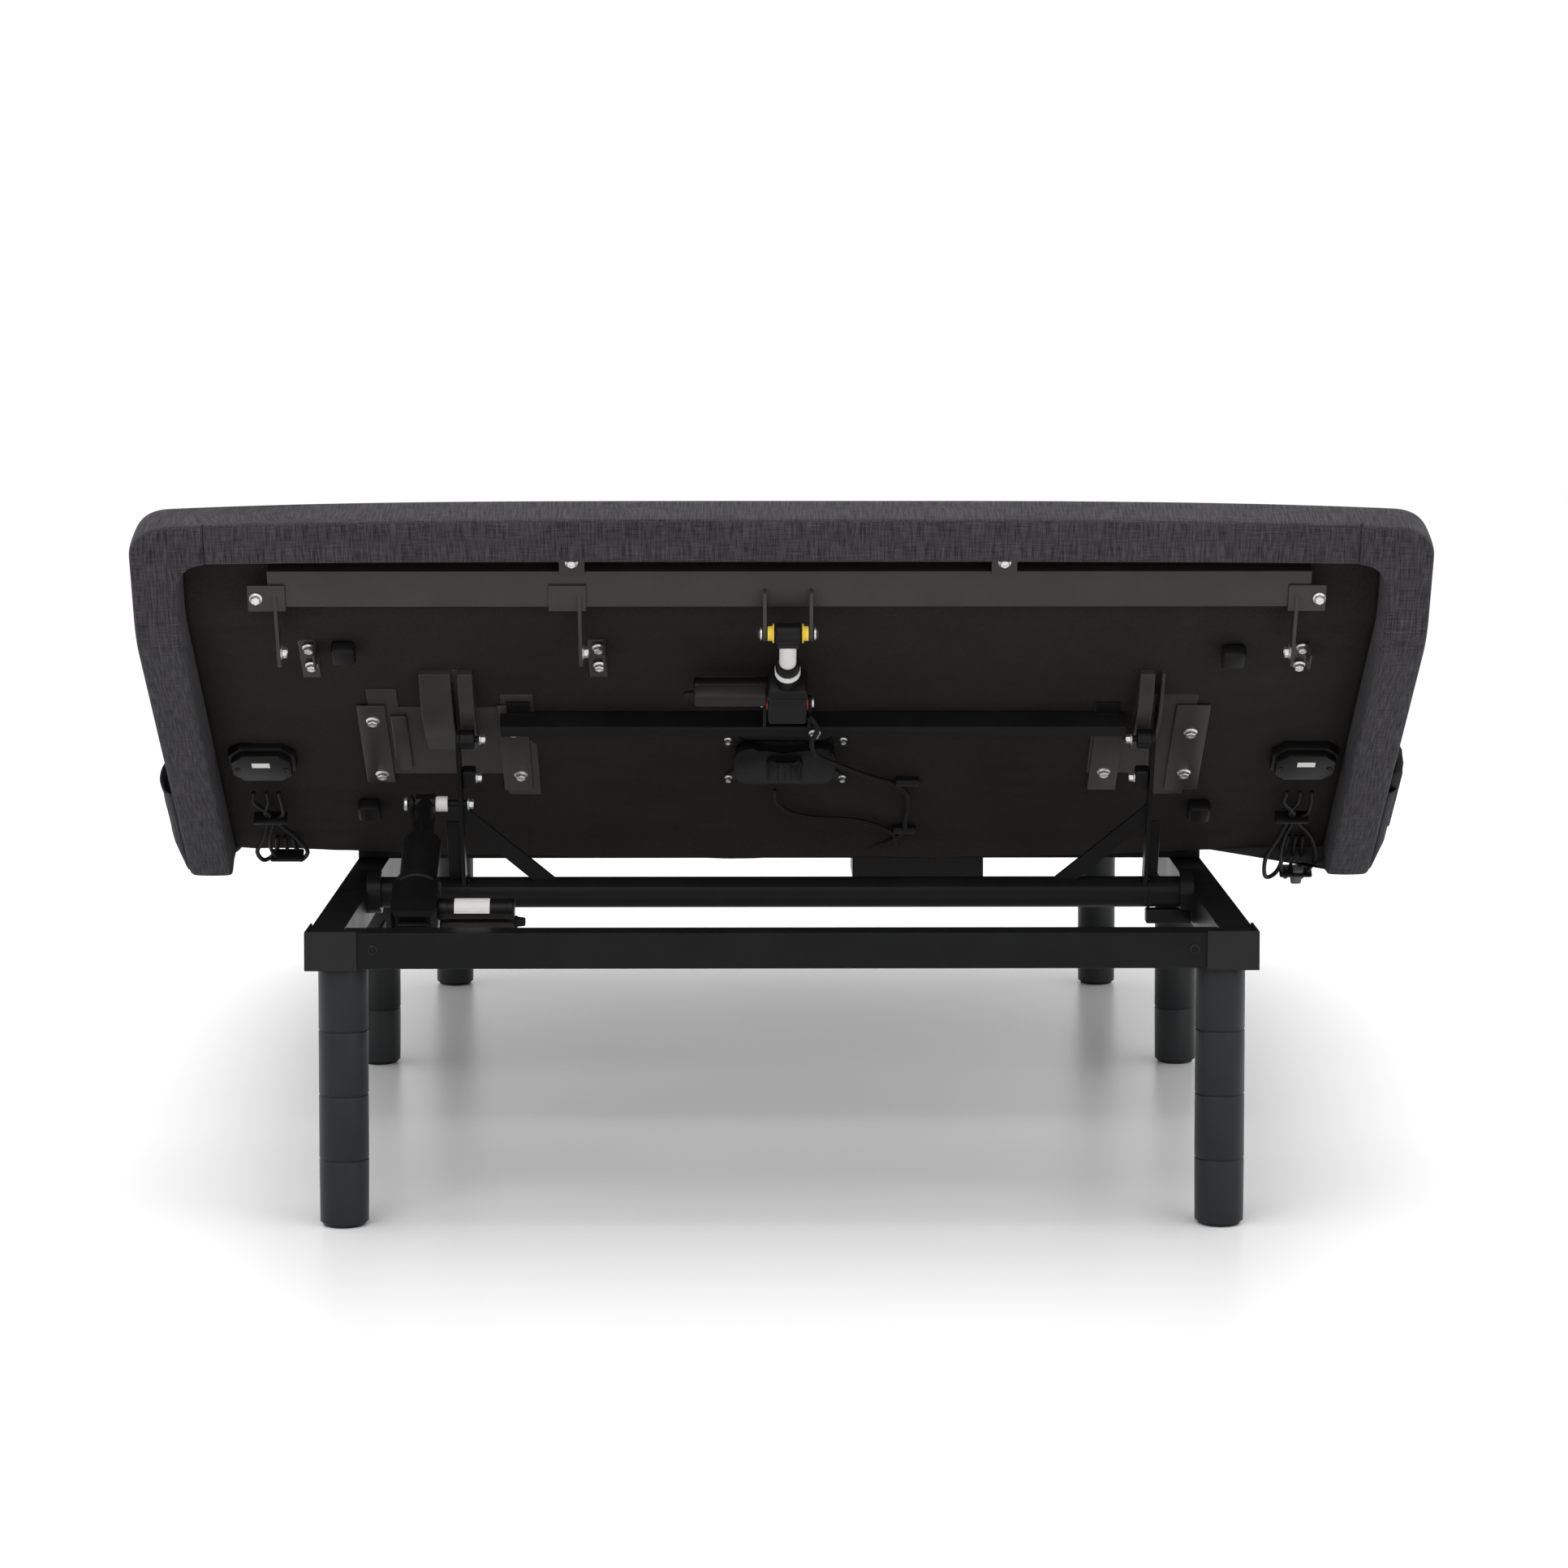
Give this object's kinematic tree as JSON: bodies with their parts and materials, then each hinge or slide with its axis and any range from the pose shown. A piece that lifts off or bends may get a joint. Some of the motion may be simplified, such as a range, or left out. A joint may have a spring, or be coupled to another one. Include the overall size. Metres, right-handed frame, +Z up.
{
  "type": "adjustable bed base",
  "caption": "Motorised bed base with an upholstered deck in hinged sections on a low steel frame with round legs, shown with its head end raised.",
  "frame": {"origin": "bottom centre of the bounding box, on the floor, with the head end raised as pictured", "axes": "+Z up, +Y towards the foot end, +X to the right when looking from the head end to the foot end"},
  "size_m": [1.5386, 1.8882, 0.8542],
  "materials": {
    "black_steel": "satin powder coat",
    "satin_steel": "satin powder coat",
    "leg": "matt moulded plastic",
    "plastic": "matt moulded plastic",
    "grey_plastic": "matt moulded plastic",
    "linen": "heathered linen weave",
    "dust_cover": "spun non-woven cloth",
    "plywood": "unfinished plywood",
    "zinc": "bright zinc"
  },
  "bodies": {
    "frame": {"head_rail": "black_steel", "foot_rail": "black_steel", "side_rail_left": "black_steel", "side_rail_right": "black_steel", "corner_cap_head_left": "grey_plastic", "corner_cap_head_right": "grey_plastic", "corner_cap_foot_left": "grey_plastic", "corner_cap_foot_right": "grey_plastic", "leg_head_left": "leg", "leg_head_right": "leg", "leg_mid_left": "leg", "leg_mid_right": "leg", "leg_foot_left": "leg", "leg_foot_right": "leg", "leg_bracket_left": "black_steel", "leg_bracket_right": "black_steel", "seat_panel": "plywood", "seat_upholstery": "linen", "seat_cross_tube_head": "black_steel", "seat_cross_tube_foot": "black_steel", "control_box": "plastic", "back_motor_mount": "black_steel", "foot_motor_mount": "black_steel"},
    "back": {"back_panel": "plywood", "back_upholstery": "linen", "back_dust_cover": "dust_cover", "lift_bracket_left": "satin_steel", "lift_bracket_right": "satin_steel", "tilt_motor_crossbar": "black_steel", "tilt_hinge_left": "satin_steel", "tilt_hinge_centre": "satin_steel", "tilt_hinge_right": "satin_steel", "massage_motor": "plastic", "usb_hub_left": "plastic", "usb_hub_right": "plastic", "pocket_left": "linen", "pocket_right": "linen"},
    "handset": {"handset": "plastic"},
    "pillow": {"pillow_panel": "plywood", "pillow_upholstery": "linen", "tilt_crossbar": "satin_steel"},
    "tilt_rod": {"tilt_rod": "zinc"},
    "tilt_motor": {"tilt_motor": "grey_plastic"},
    "back_torque": {"back_torque_tube": "black_steel", "lift_roller_left": "plastic", "lift_roller_right": "plastic"},
    "back_rod": {"back_rod": "black_steel"},
    "back_sleeve": {"back_sleeve": "plastic"},
    "back_motor": {"back_motor": "plastic"},
    "thigh": {"thigh_panel": "plywood", "thigh_upholstery": "linen", "thigh_lift_pad_left": "satin_steel", "thigh_lift_pad_right": "satin_steel"},
    "calf": {"calf_panel": "plywood", "calf_upholstery": "linen"},
    "foot_torque": {"foot_torque_tube": "black_steel"},
    "foot_rod": {"foot_rod": "zinc"},
    "foot_motor": {"foot_motor": "plastic"}
  },
  "joints": [
    {"name": "back_lift", "type": "hinge", "parent": "frame", "child": "back", "pos_m": [0, -0.46491, 0.43], "axis": [-1, 0, 0], "range_deg": [-38.9, 19.1]},
    {"name": "pillow_tilt", "type": "hinge", "parent": "back", "child": "pillow", "pos_m": [0, -0.8299, 0.72451], "axis": [-1, 0, 0], "range_deg": [-28, 2]},
    {"name": "tilt_rod_turn", "type": "hinge", "parent": "pillow", "child": "tilt_rod", "pos_m": [0.007, -0.89437, 0.69558], "axis": [-1, 0, 0], "range_deg": [-2.2, 24.24]},
    {"name": "tilt_motor_slide", "type": "slide", "parent": "tilt_rod", "child": "tilt_motor", "axis": [0, 0.8183, -0.5748], "range_m": [-0.0334, 0.00331]},
    {"name": "lift_arm_turn", "type": "hinge", "parent": "frame", "child": "back_torque", "pos_m": [0, -0.59391, 0.346], "axis": [-1, 0, 0], "range_deg": [-53.02, 26.29]},
    {"name": "back_rod_turn", "type": "hinge", "parent": "back_torque", "child": "back_rod", "pos_m": [-0.435, -0.65429, 0.4645], "axis": [-1, 0, 0], "range_deg": [-29.15, 58.85]},
    {"name": "back_sleeve_slide", "type": "slide", "parent": "back_rod", "child": "back_sleeve", "axis": [0, -0.8111, -0.5849], "range_m": [-0.05546, 0.02774]},
    {"name": "back_motor_slide", "type": "slide", "parent": "back_sleeve", "child": "back_motor", "axis": [0, -0.8111, -0.5849], "range_m": [-0.05546, 0.02774]},
    {"name": "thigh_lift", "type": "hinge", "parent": "frame", "child": "thigh", "pos_m": [0, -0.15391, 0.43], "axis": [1, 0, 0], "range_deg": [0, 35]},
    {"name": "calf_fold", "type": "hinge", "parent": "thigh", "child": "calf", "pos_m": [0, 0.27609, 0.366], "axis": [1, 0, 0], "range_deg": [-58.25, 0.5]},
    {"name": "foot_arm_turn", "type": "hinge", "parent": "frame", "child": "foot_torque", "pos_m": [0, -0.08391, 0.366], "axis": [1, 0, 0], "range_deg": [-0.5, 46]},
    {"name": "foot_rod_turn", "type": "hinge", "parent": "foot_torque", "child": "foot_rod", "pos_m": [-0.252, 0.04909, 0.366], "axis": [1, 0, 0], "range_deg": [-60, 0.5]},
    {"name": "foot_motor_slide", "type": "slide", "parent": "foot_rod", "child": "foot_motor", "axis": [0, 0.9899, -0.1419], "range_m": [-0.001, 0.0682]},
    {"name": "handset_slide", "type": "slide", "parent": "back", "child": "handset", "axis": [0, -0.7782, 0.628], "range_m": [0, 0.16]}
  ],
  "couplings": [
    {"joint": "tilt_rod_turn", "follows": "pillow_tilt", "ratio": -0.848},
    {"joint": "tilt_motor_slide", "follows": "pillow_tilt", "m_per_rad": 0.06629},
    {"joint": "lift_arm_turn", "follows": "back_lift", "ratio": 1.35},
    {"joint": "back_rod_turn", "follows": "back_lift", "ratio": -1.5},
    {"joint": "back_sleeve_slide", "follows": "back_lift", "m_per_rad": 0.08021},
    {"joint": "back_motor_slide", "follows": "back_lift", "m_per_rad": 0.08021},
    {"joint": "calf_fold", "follows": "thigh_lift", "ratio": -1.65},
    {"joint": "foot_arm_turn", "follows": "thigh_lift", "ratio": 1.3},
    {"joint": "foot_rod_turn", "follows": "thigh_lift", "ratio": -1.7},
    {"joint": "foot_motor_slide", "follows": "thigh_lift", "m_per_rad": 0.11001}
  ]
}
